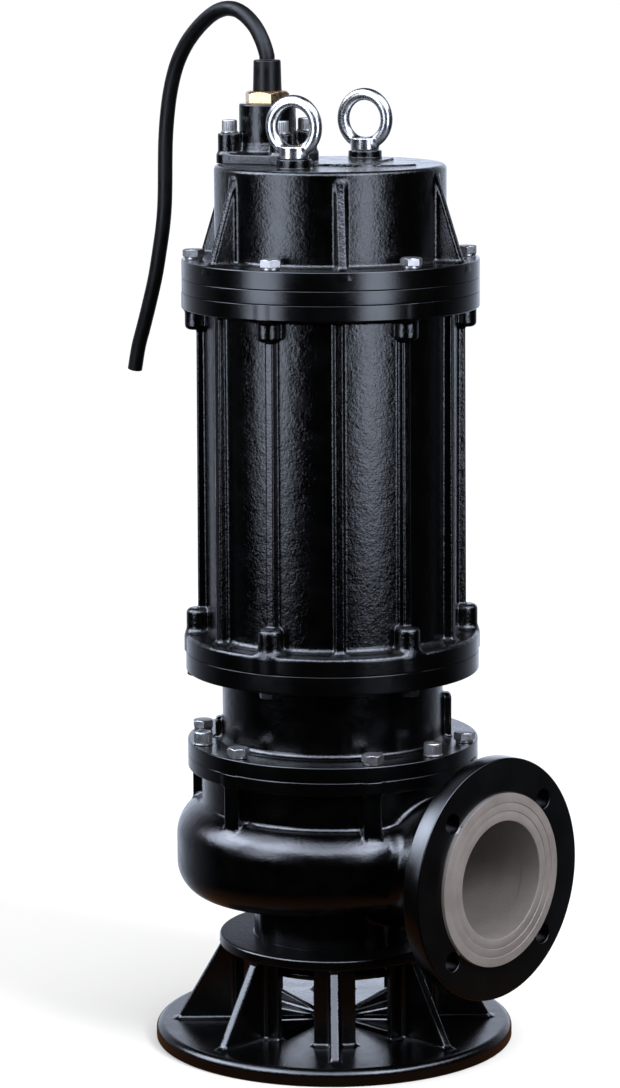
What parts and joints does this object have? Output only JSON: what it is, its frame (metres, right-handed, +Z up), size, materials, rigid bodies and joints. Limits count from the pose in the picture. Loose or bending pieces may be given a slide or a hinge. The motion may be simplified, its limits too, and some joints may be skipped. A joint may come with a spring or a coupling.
{
  "type": "submersible sewage pump",
  "caption": "Upright submersible sewage pump: ribbed motor over a spiral volute with a side discharge flange, on a round legged stand, with lifting eyes and a cable entry.",
  "frame": {"origin": "centre of the stand's foot disc, on the floor and on the pump's axis", "axes": "+Z up along the pump's axis, +X out of the discharge flange, +Y to its left"},
  "size_m": [0.4511, 0.3188, 0.9177],
  "materials": {
    "cast_black_paint": "glossy black paint over cast iron, with a fine cast bump",
    "fabricated_black_paint": "glossy black paint over welded plate",
    "housing_black_paint": "glossy black paint over cast iron, turned flange rims",
    "impeller_iron": "bare cast iron",
    "brass": "machined brass",
    "cable_rubber": "matt black rubber sheath",
    "stainless_steel": "bright stainless steel fasteners and lifting eyes"
  },
  "bodies": {
    "root": {"base_stand": "fabricated_black_paint", "bearing_plate": "housing_black_paint", "cable_boot": "cable_rubber", "gland_box": "housing_black_paint", "gland_nut": "brass", "impeller": "impeller_iron", "motor_body": "housing_black_paint", "oil_chamber": "housing_black_paint", "power_cable": "cable_rubber", "top_cap": "housing_black_paint", "volute_casing": "cast_black_paint", "cap_bolt_1": "stainless_steel", "cap_bolt_2": "stainless_steel", "cap_bolt_3": "stainless_steel", "cap_bolt_4": "stainless_steel", "cap_bolt_5": "stainless_steel", "cap_bolt_6": "stainless_steel", "motor_foot_bolt_1": "stainless_steel", "motor_foot_bolt_2": "stainless_steel", "motor_foot_bolt_3": "stainless_steel", "motor_foot_bolt_4": "stainless_steel", "motor_foot_bolt_5": "stainless_steel", "motor_foot_bolt_6": "stainless_steel", "cover_bolt_1": "stainless_steel", "cover_bolt_2": "stainless_steel", "cover_bolt_3": "stainless_steel", "cover_bolt_4": "stainless_steel", "cover_bolt_5": "stainless_steel", "cover_bolt_6": "stainless_steel", "cover_screw_1": "stainless_steel", "cover_screw_2": "stainless_steel", "cover_screw_3": "stainless_steel", "gland_screw_1": "stainless_steel", "gland_screw_2": "stainless_steel", "gland_screw_3": "stainless_steel", "gland_screw_4": "stainless_steel", "eye_bolt_1": "stainless_steel", "eye_bolt_2": "stainless_steel"}
  },
  "joints": []
}
